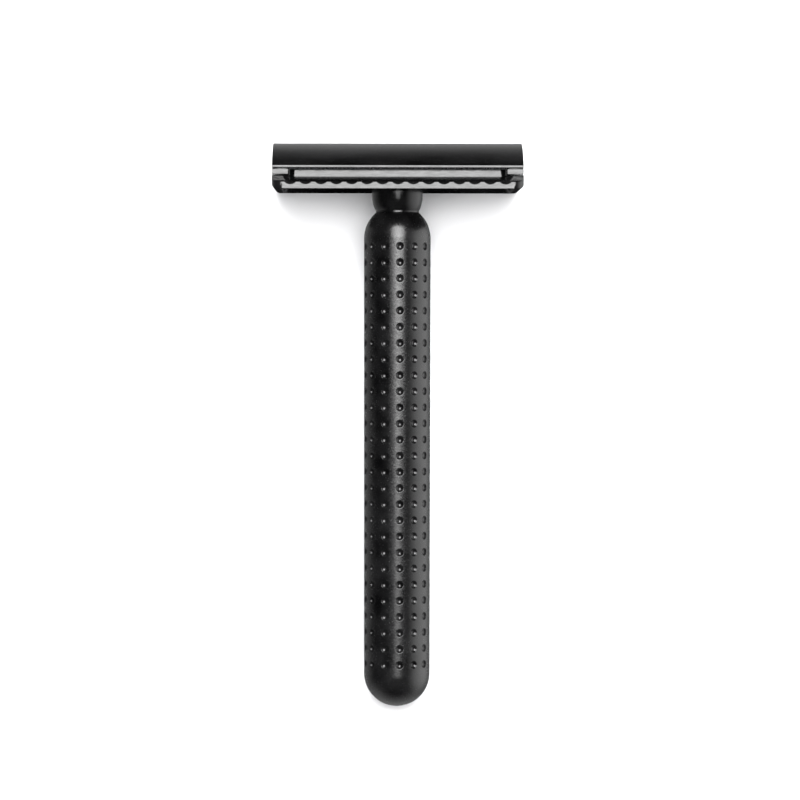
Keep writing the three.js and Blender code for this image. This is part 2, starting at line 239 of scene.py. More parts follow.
def combine(obj, others, operation):
    """Joins or cuts obj with each of the other objects, which are then removed."""
    for other in others:
        modifier = obj.modifiers.new("combine", "BOOLEAN")
        modifier.operation = operation
        modifier.solver = "EXACT"
        modifier.object = other
        settle(obj)
        bpy.data.objects.remove(other)
    return obj


def round_edges(obj, width, segments=2, angle=35):
    """Rounds the edges that turn by more than the angle. The width is in millimetres."""
    modifier = obj.modifiers.new("round", "BEVEL")
    modifier.width = width * MM
    modifier.segments = segments
    modifier.limit_method = "ANGLE"
    modifier.angle_limit = math.radians(angle)
    return settle(obj)


def shade(obj, angle=28):
    """Smooth faces, with an edge kept sharp where it turns by more than the angle."""
    bm = bmesh.new()
    bm.from_mesh(obj.data)
    limit = math.radians(angle)
    for face in bm.faces:
        face.smooth = True
    for edge in bm.edges:
        edge.smooth = len(edge.link_faces) == 2 and edge.calc_face_angle(0) < limit
    bm.to_mesh(obj.data)
    bm.free()
    return obj


def flatten_normals(obj):
    """Lets the large faces set the shading, so that only the rounded edges look round."""
    modifier = obj.modifiers.new("normals", "WEIGHTED_NORMAL")
    modifier.mode = "FACE_AREA"
    modifier.weight = 100
    modifier.keep_sharp = True
    return settle(obj)


def extruded(name, outline, low, high, place):
    """A closed prism. place(u, v, w) gives the point for outline point (u, v) at depth w."""
    count = len(outline)
    points = [place(u, v, low) for u, v in outline] + [place(u, v, high) for u, v in outline]
    sides = [(i, (i + 1) % count, count + (i + 1) % count, count + i) for i in range(count)]
    ends = [tuple(range(count)), tuple(range(2 * count - 1, count - 1, -1))]
    return clean(new_object(name, points, sides + ends))


def along_x(name, section, low, high):
    """A cross-section of (depth, height) points, extruded along the blade."""
    return extruded(name, section, low, high, lambda u, v, w: (w, v, u))


def upward(name, outline, low, high):
    """A plan of (x, depth) points, extruded along the handle's axis."""
    return extruded(name, outline, low, high, lambda u, v, w: (u, w, v))


def block(name, x_range, height_range, depth_range):
    """A box. Each range may run either way."""
    xs = sorted(x_range)
    (h0, h1), (d0, d1) = sorted(height_range), sorted(depth_range)
    return along_x(name, [(d0, h0), (d1, h0), (d1, h1), (d0, h1)], *xs)


def circle(radius, x=0.0, count=64):
    """A plan of a round hole, with its middle x along the blade."""
    turn = 2 * math.pi / count
    return [(x + radius * math.cos(turn * i), radius * math.sin(turn * i)) for i in range(count)]


def arc(centre, radius, start, end, steps):
    """Points (depth, height) of a circle about the X axis, between two depths."""
    first, last = math.asin(start / radius), math.asin(end / radius)
    angles = [first + (last - first) * step / steps for step in range(steps + 1)]
    return [(radius * math.sin(a), centre + radius * math.cos(a)) for a in angles]


def rounded_rectangle(half_length, half_width, corner, steps=8):
    """A plan with round corners, about the handle's axis."""
    points = []
    for quarter, (sx, sz) in enumerate(((1, 1), (-1, 1), (-1, -1), (1, -1))):
        for step in range(steps + 1):
            a = (quarter + step / steps) * math.pi / 2
            x = sx * (half_length - corner) + corner * math.cos(a)
            points.append((x, sz * (half_width - corner) + corner * math.sin(a)))
    return points


def revolved(name, profile, segments=96):
    """Turns a profile of (radius, height) points about the handle's axis. Radius 0 is a pole."""
    points, rings = [], []
    for radius, height in profile:
        count = 1 if radius < 1e-6 else segments
        rings.append([len(points) + i for i in range(count)])
        for i in range(count):
            a = 2 * math.pi * i / segments
            points.append((radius * math.sin(a), height, radius * math.cos(a)))
    faces = []
    for one, two in zip(rings, rings[1:]):
        for i in range(segments):
            j = (i + 1) % segments
            corners = [one[i % len(one)], one[j % len(one)], two[j % len(two)], two[i % len(two)]]
            face = list(dict.fromkeys(corners))
            if len(face) > 2:
                faces.append(face)
    return clean(new_object(name, points, faces))


# ------------------------------------------------------------------ the cap and what is fixed in it


def make_cap():
    """The curved cap with the four lugs that fill the blade's corner notches."""
    half = HEAD_LENGTH / 2
    crown = arc(CROWN_HEIGHT - CROWN_RADIUS, CROWN_RADIUS, -CAP_HALF, CAP_HALF, CROWN_STEPS)
    underside = arc(BEND_CENTRE, BEND_RADIUS, CAP_HALF, -CAP_HALF, CURVE_STEPS)
    cap = along_x("cap_shell", crown + underside, -half, half)
    lug_half = CAP_HALF - LUG_SETBACK
    inner_x = EDGE_LENGTH / 2 + LUG_PLAY
    inner_z = TAB_WIDTH / 2 + LUG_PLAY
    lugs = []
    for side in (-1, 1):
        for face in (-1, 1):
            under = arc(BEND_CENTRE, BEND_RADIUS + LUG_OVERLAP, inner_z, lug_half, CORNER_STEPS)
            outline = [*under, (lug_half, LUG_BOTTOM), (inner_z, LUG_BOTTOM)]
            section = [(face * depth, height) for depth, height in outline]
            lugs.append(along_x("lug", section, *sorted((side * inner_x, side * half))))
    lip = LIP_TOP - LIP_HEIGHT
    grooves = [
        block(
            "groove",
            (-half - OVERCUT, half + OVERCUT),
            (lip - LUG_GROOVE_HEIGHT, lip - LUG_GROOVE_START),
            (face * (lug_half - LUG_GROOVE_DEPTH), face * (CAP_HALF + OVERCUT)),
        )
        for face in (-1, 1)
    ]
    combine(cap, lugs, "UNION")
    combine(cap, grooves, "DIFFERENCE")
    round_edges(cap, CAP_BEVEL)
    return flatten_normals(shade(cap))


def thread_drop(turns):
    """How far a thread lies below its crest, from its place along the pitch in turns."""
    share = turns - math.floor(turns)
    return THREAD_DEPTH * min(1.0, max(0.0, abs(2 * share - 1) * THREAD_FLANK - THREAD_FLAT))


def make_stud():
    """The stud, with a helical thread up to just under the cap and a tapered lead at its end."""
    step = THREAD_PITCH / THREAD_STEPS
    rows = int((stud_high.y - stud_low.y) / step)
    plain_from = UNDER_CAP - PLAIN_SHANK
    points, faces = [], []
    for row in range(rows + 1):
        height = stud_low.y + row * step
        lead = STUD_RADIUS - LEAD_DEPTH + (height - stud_low.y) * LEAD_SLOPE
        fade = min(1.0, max(0.0, (plain_from - height) / THREAD_PITCH))
        for i in range(THREAD_SIDES):
            a = 2 * math.pi * i / THREAD_SIDES
            radius = STUD_RADIUS - fade * thread_drop(height / THREAD_PITCH + i / THREAD_SIDES)
            radius = min(radius, lead)
            points.append((radius * math.sin(a), height, radius * math.cos(a)))
    for row in range(rows):
        one = row * THREAD_SIDES
        two = one + THREAD_SIDES
        for i in range(THREAD_SIDES):
            j = (i + 1) % THREAD_SIDES
            faces.append((one + i, one + j, two + j, two + i))
    faces.append(tuple(range(THREAD_SIDES)))
    faces.append(tuple(rows * THREAD_SIDES + i for i in range(THREAD_SIDES)))
    return shade(clean(new_object("stud", points, faces)), 40)


def make_insert():
    """The brass bush: chamfered ends, and a thread inside that follows the stud's."""
    length = insert_high.y - insert_low.y
    rows = int(length / (THREAD_PITCH / THREAD_STEPS))
    outer = insert_high.z
    inner = STUD_RADIUS + BUSH_MOUTH + BUSH_MOUTH_LAND
    wall = [
        (inner, insert_high.y),
        (outer - BUSH_CHAMFER, insert_high.y),
        (outer, insert_high.y - BUSH_CHAMFER),
        (outer, insert_low.y + BUSH_CHAMFER),
        (outer - BUSH_CHAMFER, insert_low.y),
        (inner, insert_low.y),
    ]
    points, faces = [], []
    for row in range(rows + 1):
        height = insert_low.y + length * row / rows
        mouth = STUD_RADIUS + BUSH_MOUTH - min(height - insert_low.y, insert_high.y - height)
        for i in range(THREAD_SIDES):
            a = 2 * math.pi * i / THREAD_SIDES
            drop = thread_drop(height / THREAD_PITCH + i / THREAD_SIDES)
            radius = max(STUD_RADIUS + THREAD_PLAY - drop, mouth)
            points.append((radius * math.sin(a), height, radius * math.cos(a)))
    for radius, height in wall:
        for i in range(THREAD_SIDES):
            a = 2 * math.pi * i / THREAD_SIDES
            points.append((radius * math.sin(a), height, radius * math.cos(a)))
    rings = len(points) // THREAD_SIDES
    for ring in range(rings):
        one, two = ring * THREAD_SIDES, (ring + 1) % rings * THREAD_SIDES
        for i in range(THREAD_SIDES):
            j = (i + 1) % THREAD_SIDES
            faces.append((one + i, one + j, two + j, two + i))
    return shade(clean(new_object("insert", points, faces)), 40)


def make_post(side):
    """A locating post with a rounded tip."""
    dome = []
    for step in range(CORNER_STEPS + 1):
        a = math.pi / 2 * step / CORNER_STEPS
        radius = POST_RADIUS - POST_TIP * (1 - math.sin(a))
        dome.append((radius, post_low.y + POST_TIP * (1 - math.cos(a))))
    profile = [(0, post_low.y), *dome, (POST_RADIUS, post_high.y), (0, post_high.y)]
    post = revolved("post_left" if side < 0 else "post_right", profile, POST_SIDES)
    for vertex in post.data.vertices:
        vertex.co.x += side * POST_X * MM
    return shade(post, 40)


# ------------------------------------------------------------------ the blade


def make_blade():
    """The bent blade, ground to an edge on both sides, with its notches and slot."""
    upper = BEND_RADIUS - BLADE_GAP
    middle = upper - BLADE_THICKNESS / 2
    reach = BLADE_WIDTH / 2 / middle
    ground = (BLADE_WIDTH / 2 - BLADE_GRIND) / middle
    top, under = [], []
    for step in range(BLADE_STEPS + 1):
        a = -ground + 2 * ground * step / BLADE_STEPS
        top.append((upper * math.sin(a), BEND_CENTRE + upper * math.cos(a)))
        lower = upper - BLADE_THICKNESS
        under.append((lower * math.sin(a), BEND_CENTRE + lower * math.cos(a)))
    edges = [(middle * math.sin(a), BEND_CENTRE + middle * math.cos(a)) for a in (reach, -reach)]
    section = [*top, edges[0], *reversed(under), edges[1]]
    blade = along_x("blade_sheet", section, -BLADE_LENGTH / 2, BLADE_LENGTH / 2)
    notches = []
    for side in (-1, 1):
        for face in (-1, 1):
            notches.append(block(
                "notch",
                (side * EDGE_LENGTH / 2, side * BLADE_LENGTH),
                (0, CROWN_HEIGHT + OVERCUT),
                (face * TAB_WIDTH / 2, face * BLADE_WIDTH),
            ))
    slot = upward("slot", rounded_rectangle(*SLOT_HALF, SLOT_CORNER), 0, CROWN_HEIGHT)
    post_hole = POST_RADIUS + HOLE_GAP
    openings = [
        upward("opening", circle(radius, x), 0, CROWN_HEIGHT)
        for radius, x in ((STUD_RADIUS + SLOT_PLAY, 0), (post_hole, POST_X), (post_hole, -POST_X))
    ]
    combine(blade, [*notches, slot, *openings], "DIFFERENCE")
    return shade(blade, 6)


# ------------------------------------------------------------------ the base plate


def mirrored(half):
    """A half outline and its mirror image across the middle, as one outline."""
    return [*half, *[(-depth, height) for depth, height in reversed(half)]]


def scallop_cutter(name, indices, face):
    """Round grooves that run down and out through the front of one bar, as one object."""
    drop = GUTTER_HEIGHT - BAR_HEIGHT + SCALLOP_DEPTH
    length = math.hypot(drop, BAR_DEPTH)
    inward = Vector((0, drop / length, -BAR_DEPTH / length))
    outward = Vector((0, BAR_DEPTH / length, drop / length))
    points, faces = [], []
    sides = SCALLOP_SIDES
    for index in indices:
        x = (index - (SCALLOP_COUNT - 1) / 2) * SCALLOP_PITCH
        low = Vector((x, BAR_HEIGHT - SCALLOP_DEPTH, BASE_HALF)) + outward * SCALLOP_RADIUS
        first = len(points)
        for reach in SCALLOP_REACH:
            for i in range(sides):
                a = 2 * math.pi * i / sides
                offset = Vector((1, 0, 0)) * math.sin(a) - outward * math.cos(a)
                point = low + inward * reach + offset * SCALLOP_RADIUS
                points.append((point.x, point.y, face * point.z))
        for i in range(sides):
            j = (i + 1) % sides
            faces.append((first + i, first + j, first + sides + j, first + sides + i))
        faces.append(tuple(first + i for i in range(sides)))
        faces.append(tuple(first + sides + i for i in range(sides)))
    return clean(new_object(name, points, faces))


def end_rounding(half):
    """The plate's outline from the front: straight ends, rounded at the bottom."""
    corner = []
    for step in range(CORNER_STEPS + 1):
        a = math.pi / 2 * step / CORNER_STEPS
        x = half - BASE_END_ROUND * (1 - math.sin(a))
        corner.append((x, BASE_END_ROUND * (1 - math.cos(a))))
    outline = mirrored([*corner, (half, CROWN_HEIGHT)])
    reach = BASE_HALF + OVERCUT
    return extruded("end_rounding", outline, -reach, reach, lambda u, v, w: (u, v, w))


def hollow_cutter(half):
    """The hollow under the plate, with walls that lean in as they rise."""
    outline = rounded_rectangle(half - RIM_WIDTH, BASE_HALF - RIM_WIDTH, RECESS_CORNER)
    hollow = upward("hollow", outline, -OVERCUT, RECESS_DEPTH)
    for vertex in hollow.data.vertices:
        inset = RECESS_DRAFT * vertex.co.y / RECESS_DEPTH
        vertex.co.x -= inset * math.copysign(1, vertex.co.x)
        vertex.co.z -= inset * math.copysign(1, vertex.co.z)
    return hollow


def make_base_plate():
    """The floor with its scalloped bars, the raised ends, and the platform under the blade."""
    half = HEAD_LENGTH / 2
    back = BASE_HALF - BAR_DEPTH
    bar = [(BASE_HALF, 0), (BASE_HALF, BAR_HEIGHT)]
    floor = [*bar, (back, GUTTER_HEIGHT), (PLATFORM_HALF, FOOT_HEIGHT)]
    plate = along_x("base_plate_body", mirrored(floor), -half, half)
    end = [*bar, *END_FACE, (END_HALF, END_HEIGHT)]
    ends = [
        along_x("end", mirrored(end), *sorted((side * EDGE_LENGTH / 2, side * half)))
        for side in (-1, 1)
    ]
    bed_radius = BEND_RADIUS - BLADE_THICKNESS - 2 * BLADE_GAP
    bed_top = arc(BEND_CENTRE, bed_radius, -PLATFORM_HALF, PLATFORM_HALF, CURVE_STEPS)
    bed_foot = [(PLATFORM_HALF, BED_FOOT), (-PLATFORM_HALF, BED_FOOT)]
    bed = along_x("bed", [*bed_top, *bed_foot], -half, half)
    platform = rounded_rectangle(EDGE_LENGTH / 2, PLATFORM_HALF, PLATFORM_CORNER)
    pillar = upward("pillar", platform, PILLAR_FOOT, CROWN_HEIGHT)
    combine(pillar, [bed], "INTERSECT")
    combine(plate, [*ends, pillar], "UNION")
    outline = rounded_rectangle(half, BASE_HALF, BASE_CORNER, BASE_CORNER_STEPS)
    combine(plate, [upward("outline", outline, -OVERCUT, CROWN_HEIGHT)], "INTERSECT")
    combine(plate, [end_rounding(half)], "INTERSECT")
    seat_top = RECESS_DEPTH + SEAT_DEPTH
    holes = [
        hollow_cutter(half),
        upward("neck_seat", circle(NECK_RADIUS + HOLE_GAP, count=96), -OVERCUT, seat_top),
        upward("stud_hole", circle(STUD_RADIUS + STUD_HOLE_PLAY), -OVERCUT, CROWN_HEIGHT),
        upward("post_hole", circle(POST_RADIUS + HOLE_GAP, POST_X), -OVERCUT, CROWN_HEIGHT),
        upward("post_hole", circle(POST_RADIUS + HOLE_GAP, -POST_X), -OVERCUT, CROWN_HEIGHT),
    ]
    scallops = [
        scallop_cutter("scallops", range(start, SCALLOP_COUNT, 2), face)
        for start in (0, 1)
        for face in (-1, 1)
    ]
    combine(plate, [*holes, *scallops], "DIFFERENCE")
    round_edges(plate, BASE_BEVEL)
    return flatten_normals(shade(plate))


# ------------------------------------------------------------------ the handle


def bezier(start, control, end, steps):
    """Points along a curve from start to end, drawn towards one control point."""
    points = []
    for step in range(steps + 1):
        t = step / steps
        points.append(tuple(
            (1 - t) ** 2 * a + 2 * t * (1 - t) * b + t * t * c
            for a, b, c in zip(start, control, end)
        ))
    return points


def make_neck():
    """The ball-shaped neck, with a narrow bright land where it meets the handle."""
    foot = NECK_BOTTOM - NECK_FOOT
    land = (WAIST_RADIUS, NECK_BOTTOM + WAIST_LAND)
    side = bezier(land, (NECK_RADIUS, NECK_BULGE), (NECK_RADIUS, 0), NECK_STEPS)
    profile = [
        (POCKET_RADIUS, foot),
        (WAIST_RADIUS, foot),
        *side,
        (NECK_RADIUS, neck_high.y),
        (POCKET_RADIUS, neck_high.y),
        (POCKET_RADIUS, foot),
    ]
    return shade(revolved("neck", profile, NECK_SIDES), 30)


def handle_radius(height):
    """The grip's radius, which tapers evenly from the shoulder to the domed end."""
    share = (SHOULDER_CENTRE - height) / (SHOULDER_CENTRE - DOME_CENTRE)
    return TOP_RADIUS + (END_RADIUS - TOP_RADIUS) * share


def dimple_rings():
    """(distance from the dimple's middle, depth) of each ring: a round bowl and its rounded rim."""
    lift = BOWL_RADIUS - BOWL_DEPTH
    rim_place = math.sqrt((BOWL_RADIUS + BOWL_RIM) ** 2 - (lift + BOWL_RIM) ** 2)
    slope = math.asin(rim_place / (BOWL_RADIUS + BOWL_RIM))
    rings = []
    for step in range(1, BOWL_STEPS + 1):
        a = slope * step / BOWL_STEPS
        rings.append((BOWL_RADIUS * math.sin(a), BOWL_RADIUS * math.cos(a) - lift))
    for step in range(1, RIM_STEPS + 1):
        a = slope * (1 - step / RIM_STEPS)
        rings.append((rim_place - BOWL_RIM * math.sin(a), BOWL_RIM * (1 - math.cos(a))))
    rings.append((rim_place + BOWL_LAND, 0.0))
    return rings


def cell_edge(index, half_width, half_height):
    """Point number index round a rectangle, counted from its upper right corner."""
    per_side = DIMPLE_SIDES // 4
    side, step = divmod(index, per_side)
    share = 1 - 2 * step / per_side
    corners = ((share, 1), (-1, share), (-share, -1), (1, -share))
    return corners[side][0] * half_width, corners[side][1] * half_height


def dimple_cell(points, faces, angle, height):
    """One cell of the grip: a dimple in the middle of a patch of the handle's surface."""
    radius = handle_radius(height)
    half_width = math.pi * radius / DIMPLE_COLUMNS
    half_height = DIMPLE_PITCH / 2

    def place(across, up, depth):
        level = height + up
        a = angle + across / radius
        r = handle_radius(level) - depth
        return (r * math.sin(a), level, r * math.cos(a))

    first = len(points)
    points.append(place(0, 0, BOWL_DEPTH))
    rings = dimple_rings()
    turn = 2 * math.pi / DIMPLE_SIDES
    for distance, depth in rings:
        for i in range(DIMPLE_SIDES):
            a = math.pi / 4 + turn * i
            points.append(place(distance * math.cos(a), distance * math.sin(a), depth))
    rim = rings[-1][0]
    for blend in CELL_BLENDS:
        for i in range(DIMPLE_SIDES):
            a = math.pi / 4 + turn * i
            x, y = cell_edge(i, half_width, half_height)
            across = (1 - blend) * rim * math.cos(a) + blend * x
            points.append(place(across, (1 - blend) * rim * math.sin(a) + blend * y, 0))
    for i in range(DIMPLE_SIDES):
        j = (i + 1) % DIMPLE_SIDES
        faces.append((first, first + 1 + i, first + 1 + j))
        for ring in range(len(rings) + 1):
            one = first + 1 + ring * DIMPLE_SIDES
            two = one + DIMPLE_SIDES
            faces.append((one + i, two + i, two + j, one + j))


def band(points, faces, profile, segments, start):
    """Rings of quads round the handle, from (radius, height) points. Returns the last ring."""
    first = len(points)
    for radius, height in profile:
        for i in range(segments):
            a = start + 2 * math.pi * i / segments
            points.append((radius * math.sin(a), height, radius * math.cos(a)))
    for row in range(len(profile) - 1):
        for i in range(segments):
            j = (i + 1) % segments
            one = first + row * segments
            two = one + segments
            faces.append((one + i, one + j, two + j, two + i))
    return [first + (len(profile) - 1) * segments + i for i in range(segments)]


def make_handle():
    """The grip with its round dimples, the shoulder above it and the domed end below."""
    points, faces = [], []
    turn = 2 * math.pi / DIMPLE_COLUMNS
    for row in range(DIMPLE_ROWS):
        for column in range(DIMPLE_COLUMNS):
            height = FIRST_DIMPLE - row * DIMPLE_PITCH
            dimple_cell(points, faces, DIMPLE_CLOCKING + column * turn, height)
    segments = DIMPLE_COLUMNS * DIMPLE_SIDES // 4
    start = DIMPLE_CLOCKING - turn / 2

    top = FIRST_DIMPLE + DIMPLE_PITCH / 2
    waist = math.asin(WAIST_RADIUS / TOP_RADIUS)
    shoulder = [(handle_radius(top), top)]
    for step in range(ROUND_STEPS + 1):
        a = math.pi / 2 + (waist - math.pi / 2) * step / ROUND_STEPS
        shoulder.append((TOP_RADIUS * math.sin(a), SHOULDER_CENTRE + TOP_RADIUS * math.cos(a)))
    rise = HANDLE_TOP + SHOULDER_RISE
    shoulder.append((WAIST_RADIUS - SHOULDER_INSET, rise))
    shoulder.append((POCKET_RADIUS, rise))
    shoulder.append((POCKET_RADIUS, HANDLE_TOP - POCKET_DEPTH))
    floor_ring = band(points, faces, shoulder, segments, start)
    faces.append(tuple(floor_ring))

    bottom = FIRST_DIMPLE - (DIMPLE_ROWS - 0.5) * DIMPLE_PITCH
    dome = [(handle_radius(bottom), bottom)]
    for step in range(ROUND_STEPS):
        a = math.pi / 2 * (1 - step / ROUND_STEPS)
        level = DOME_CENTRE - (END_RADIUS - DOME_ALLOWANCE) * math.cos(a)
        dome.append((END_RADIUS * math.sin(a), level))
    last_ring = band(points, faces, dome, segments, start)
    points.append((0, HANDLE_END + DOME_ALLOWANCE, 0))
    pole = len(points) - 1
    faces += [(last_ring[i], last_ring[(i + 1) % segments], pole) for i in range(segments)]
    return shade(clean(new_object("handle", points, faces), weld=3e-7), 50)


# ------------------------------------------------------------------ materials


def new_material(name, metallic=0.0):
    """A material and its shader node."""
    material = bpy.data.materials.new(name)
    material.use_nodes = True
    shader = material.node_tree.nodes["Principled BSDF"]
    shader.inputs["Metallic"].default_value = metallic
    return material, shader


def noise(material, scale, detail=2.0, stretch=(1, 1, 1)):
    """A noise pattern along the razor's own axes. The scale is in cycles per metre."""
    nodes, links = material.node_tree.nodes, material.node_tree.links
    place = nodes.new("ShaderNodeTexCoord")
    upright = nodes.new("ShaderNodeVectorRotate")
    upright.rotation_type = "X_AXIS"
    upright.inputs["Angle"].default_value = -math.atan2(ALONG.z, ALONG.y)
    mapping = nodes.new("ShaderNodeMapping")
    mapping.inputs["Scale"].default_value = stretch
    pattern = nodes.new("ShaderNodeTexNoise")
    pattern.inputs["Scale"].default_value = scale
    pattern.inputs["Detail"].default_value = detail
    links.new(place.outputs["Object"], upright.inputs["Vector"])
    links.new(upright.outputs["Vector"], mapping.inputs["Vector"])
    links.new(mapping.outputs["Vector"], pattern.inputs["Vector"])
    return pattern.outputs["Fac"]


def spread(material, source, low, high, start=0.3, end=0.7):
    """A pattern's middle range, mapped onto low to high."""
    node = material.node_tree.nodes.new("ShaderNodeMapRange")
    node.inputs["From Min"].default_value = start
    node.inputs["From Max"].default_value = end
    node.inputs["To Min"].default_value = low
    node.inputs["To Max"].default_value = high
    material.node_tree.links.new(source, node.inputs["Value"])
    return node.outputs["Result"]


def tint(material, shader, source, dark, light, start=0.3, end=0.7):
    """The shader's base colour, between two colours by a pattern."""
    ramp = material.node_tree.nodes.new("ShaderNodeValToRGB")
    ramp.color_ramp.elements[0].position = start
    ramp.color_ramp.elements[1].position = end
    ramp.color_ramp.elements[0].color = (*dark, 1)
    ramp.color_ramp.elements[1].color = (*light, 1)
    material.node_tree.links.new(source, ramp.inputs["Fac"])
    material.node_tree.links.new(ramp.outputs["Color"], shader.inputs["Base Color"])


def bumps(material, shader, layers):
    """Chains one bump node for each (pattern, height in metres) onto the shader's normal."""
    links = material.node_tree.links
    normal = None
    for source, height in layers:
        node = material.node_tree.nodes.new("ShaderNodeBump")
        node.inputs["Distance"].default_value = height
        links.new(source, node.inputs["Height"])
        if normal is not None:
            links.new(normal, node.inputs["Normal"])
        normal = node.outputs["Normal"]
    links.new(normal, shader.inputs["Normal"])


def satin_coating(name, stretch, roughness, specular, relief):
    """A satin black coating: fine grain, soft mottling in its gloss, and faint paler clouds."""
    material, shader = new_material(name)
    shader.inputs["Specular IOR Level"].default_value = specular
    grain = noise(material, 6000, 3, stretch)
    mottle = noise(material, 2600, 3, stretch)
    clouds = noise(material, 260, 4, stretch)
    tint(material, shader, clouds, (0.0012, 0.0012, 0.0013), (0.006, 0.006, 0.0062), 0.35, 0.7)
    rough = spread(material, mottle, roughness - 0.04, roughness + 0.04)
    material.node_tree.links.new(rough, shader.inputs["Roughness"])
    bumps(material, shader, [(mottle, 1.2e-5 * relief), (grain, 6e-6 * relief)])
    return material


def turned_metal(name, dark, light, roughness):
    """Bare metal with fine turning lines round the handle's axis."""
    material, shader = new_material(name, metallic=1.0)
    lines = noise(material, 9000, 2, (0.06, 1, 0.06))
    clouds = noise(material, 500)
    tint(material, shader, clouds, dark, light)
    rough = spread(material, lines, roughness - 0.06, roughness + 0.08)
    material.node_tree.links.new(rough, shader.inputs["Roughness"])
    bumps(material, shader, [(lines, 2e-6)])
    return material


def ground_steel(name):
    """Blade steel, with grinding lines across the blade towards its edges."""
    material, shader = new_material(name, metallic=1.0)
    lines = noise(material, 14000, 2, (1, 0.05, 0.05))
    clouds = noise(material, 300)
    tint(material, shader, clouds, (0.52, 0.53, 0.55), (0.66, 0.67, 0.68))
    rough = spread(material, lines, 0.2, 0.34)
    material.node_tree.links.new(rough, shader.inputs["Roughness"])
    bumps(material, shader, [(lines, 1.5e-6)])
    return material


# ------------------------------------------------------------------ stage, lights and camera

VIEW_TILT = math.radians(1.3)
VIEW_ROLL = math.radians(0.08)
VIEW_TURN = math.radians(0.45)
CAMERA_DISTANCE = 0.62
LENS = 160.5
AIM = Vector((0.5, -36.31, 0)) * MM

TURNED = FRONT * math.cos(VIEW_TURN) - SIDE * math.sin(VIEW_TURN)
BACK = TURNED * math.cos(VIEW_TILT) + ALONG * math.sin(VIEW_TILT)
UP = ALONG * math.cos(VIEW_TILT) - TURNED * math.sin(VIEW_TILT)
RIGHT = UP.cross(BACK)
AIM_POINT = RAZOR @ AIM


def facing(right, up, back, place):
    """A matrix for a camera or light at a place, from its own three directions."""
    return Matrix.Translation(place) @ Matrix((right, up, back)).transposed().to_4x4()


def make_camera():
    """The photograph's view, straight on to the razor's front."""
    right = RIGHT * math.cos(VIEW_ROLL) + UP * math.sin(VIEW_ROLL)
    up = UP * math.cos(VIEW_ROLL) - RIGHT * math.sin(VIEW_ROLL)
    data = bpy.data.cameras.new("camera")
    data.lens = LENS
    data.sensor_width = 36
    camera = bpy.data.objects.new("camera", data)
    camera.matrix_world = facing(right, up, BACK, AIM_POINT + BACK * CAMERA_DISTANCE)
    bpy.context.scene.collection.objects.link(camera)
    bpy.context.scene.camera = camera


def area_light(name, place, target, size, radiance):
    """A rectangular light, turned to its target. Its size is (width, height) in metres."""
    data = bpy.data.lights.new(name, "AREA")
    data.shape = "RECTANGLE"
    data.size, data.size_y = size
    data.energy = radiance * 4 * size[0] * size[1]
    light = bpy.data.objects.new(name, data)
    light.location = place
    light.rotation_euler = (target - place).to_track_quat("-Z", "Y").to_euler()
    light.visible_camera = False
    bpy.context.scene.collection.objects.link(light)
    return light


def overhead_box(name, distance, x_range, y_range, radiance):
    """A soft light parallel to the picture. Its ranges are in metres from the line of sight."""
    (left, right), (low, high) = x_range, y_range
    centre = AIM_POINT + BACK * distance + UP * (low + high) / 2 + RIGHT * (left + right) / 2
    light = area_light(name, centre, centre - BACK, (right - left, high - low), radiance)
    light.matrix_world = facing(RIGHT, UP, BACK, centre)
    return light


def make_lights():
    """A softbox over the razor, brightest in its middle, and two lights for the table.

    Each part of the softbox has its own distance, because parts that share a plane don't add up
    in a reflection. The table's own lights are not mirrored in the razor.
    """
    overhead_box("softbox_outer", 1.0, (-0.37, 0.47), (0.025, 1.0), 5.0)
    overhead_box("softbox_middle", 0.99, (-0.24, 0.36), (0.025, 0.95), 3.0)
    overhead_box("softbox_inner", 0.98, (-0.13, 0.24), (0.025, 0.9), 2.0)
    overhead_box("softbox_edge", 0.97, (-0.18, 0.36), (0.025, 0.17), 3.0)
    overhead_box("softbox_foot", 0.97, (-0.11, 0.19), (-0.2, 0.024), 3.4)
    key = overhead_box("table_key", 1.01, (-0.36, 0.44), (0.025, 1.0), 4.6)
    fill_place = AIM_POINT + BACK * 0.9 - UP * 0.7
    fill = area_light("table_fill", fill_place, AIM_POINT, (1.2, 0.7), 3.4)
    for light in (key, fill):
        light.visible_glossy = False


